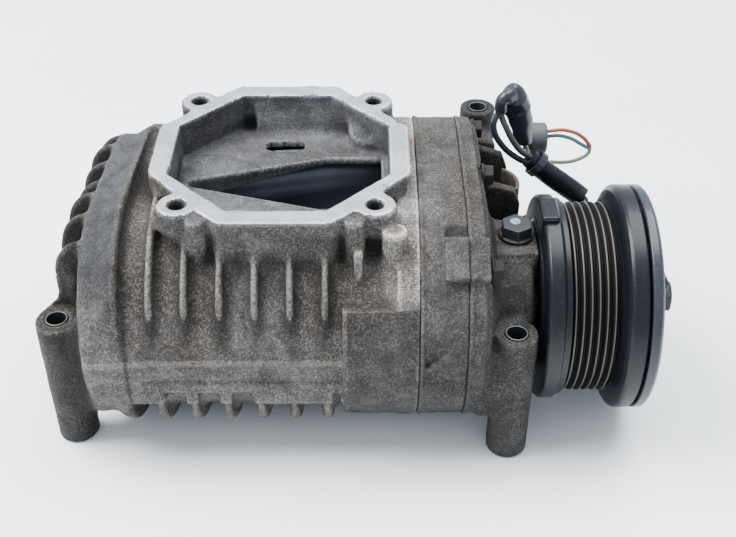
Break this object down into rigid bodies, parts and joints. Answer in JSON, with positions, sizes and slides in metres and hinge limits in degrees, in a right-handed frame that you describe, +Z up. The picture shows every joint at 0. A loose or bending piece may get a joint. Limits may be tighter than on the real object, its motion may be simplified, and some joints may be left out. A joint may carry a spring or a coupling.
{
  "type": "supercharger",
  "caption": "Roots-type supercharger with finned alloy housing, twin helical rotors, timing gears and a belt pulley with electromagnetic clutch.",
  "frame": {"origin": "middle of the footprint, on the ground that the three mounting tubes stand on", "axes": "+X along the rotors towards the pulley, +Z up through the outlet flange, +Y to the inlet side"},
  "size_m": [0.2974, 0.2002, 0.1348],
  "materials": {
    "cast_aluminium": "sand-cast, oxidised and stained",
    "bright_steel": "machined, clean",
    "dark_steel": "black oxide",
    "rotor_coating": "smooth blue-grey coating",
    "shaft_steel": "ground",
    "bearing_steel": "ground",
    "seal_rubber": "moulded lip seal",
    "black_paint": "glossy black coating, worn on the belt ridges",
    "plated_steel": "zinc plated",
    "black_rubber": "semi-gloss sleeve",
    "grey_plastic": "moulded",
    "plug_finish": "black oxide with a paint dot",
    "red_insulation": "wire insulation",
    "teal_insulation": "wire insulation",
    "green_insulation": "wire insulation"
  },
  "bodies": {
    "root": {"rotor_housing": "cast_aluminium", "gear_case": "cast_aluminium", "front_cover": "cast_aluminium", "drive_rear_bearing": "bearing_steel", "driven_rear_bearing": "bearing_steel", "drive_front_bearing": "bearing_steel", "driven_front_bearing": "bearing_steel", "drive_shaft_seal": "seal_rubber", "driven_shaft_seal": "seal_rubber", "rear_snout_bearing": "bearing_steel", "front_snout_bearing": "bearing_steel", "snout_seal": "seal_rubber", "clutch_coil": "black_paint", "pulley_snap_ring": "bright_steel", "cover_bolt_1": "plated_steel", "cover_bolt_2": "plated_steel", "cover_bolt_3": "plated_steel", "cover_bolt_4": "plated_steel", "cover_bolt_5": "plated_steel", "cover_bolt_6": "plated_steel", "dowel_pin_1": "bright_steel", "dowel_pin_2": "bright_steel", "oil_fill_plug": "plug_finish", "front_left_mount_sleeve": "bright_steel", "front_right_mount_sleeve": "bright_steel", "back_right_mount_sleeve": "bright_steel", "harness_bracket": "dark_steel", "coil_lead_sleeve": "black_rubber", "harness_sleeve": "black_rubber", "harness_tie": "black_rubber", "harness_lead_1": "black_rubber", "harness_lead_2": "black_rubber", "coil_lead_1": "black_rubber", "coil_lead_2": "black_rubber", "red_wire": "red_insulation", "teal_wire": "teal_insulation", "green_wire": "green_insulation", "coil_connector": "grey_plastic"},
    "drive_train": {"drive_rotor": "rotor_coating", "drive_rotor_shaft": "shaft_steel", "drive_timing_gear": "dark_steel", "shaft_coupler": "dark_steel", "input_shaft": "shaft_steel", "armature_hub": "dark_steel", "armature_leaf_spring_1": "dark_steel", "armature_leaf_spring_2": "dark_steel", "armature_leaf_spring_3": "dark_steel", "hub_bolt": "dark_steel"},
    "driven_train": {"driven_rotor": "rotor_coating", "driven_rotor_shaft": "shaft_steel", "driven_timing_gear": "dark_steel"},
    "pulley": {"pulley": "black_paint", "pulley_bearing": "bearing_steel"},
    "armature": {"armature_plate": "black_paint"}
  },
  "joints": [
    {"name": "drive_rotor_spin", "type": "hinge", "parent": "root", "child": "drive_train", "pos_m": [0, -0.04335, 0.0585], "axis": [1, 0, 0], "continuous": true},
    {"name": "driven_rotor_spin", "type": "hinge", "parent": "root", "child": "driven_train", "pos_m": [0, 0.01565, 0.0585], "axis": [1, 0, 0], "continuous": true},
    {"name": "pulley_spin", "type": "hinge", "parent": "root", "child": "pulley", "pos_m": [0.1105, -0.04335, 0.0585], "axis": [1, 0, 0], "continuous": true},
    {"name": "clutch_engage", "type": "slide", "parent": "drive_train", "child": "armature", "axis": [-1, 0, 0], "range_m": [0, 0.0006], "stiffness_N_per_m": 2000}
  ],
  "couplings": [
    {"joint": "driven_rotor_spin", "follows": "drive_rotor_spin", "ratio": -1}
  ]
}
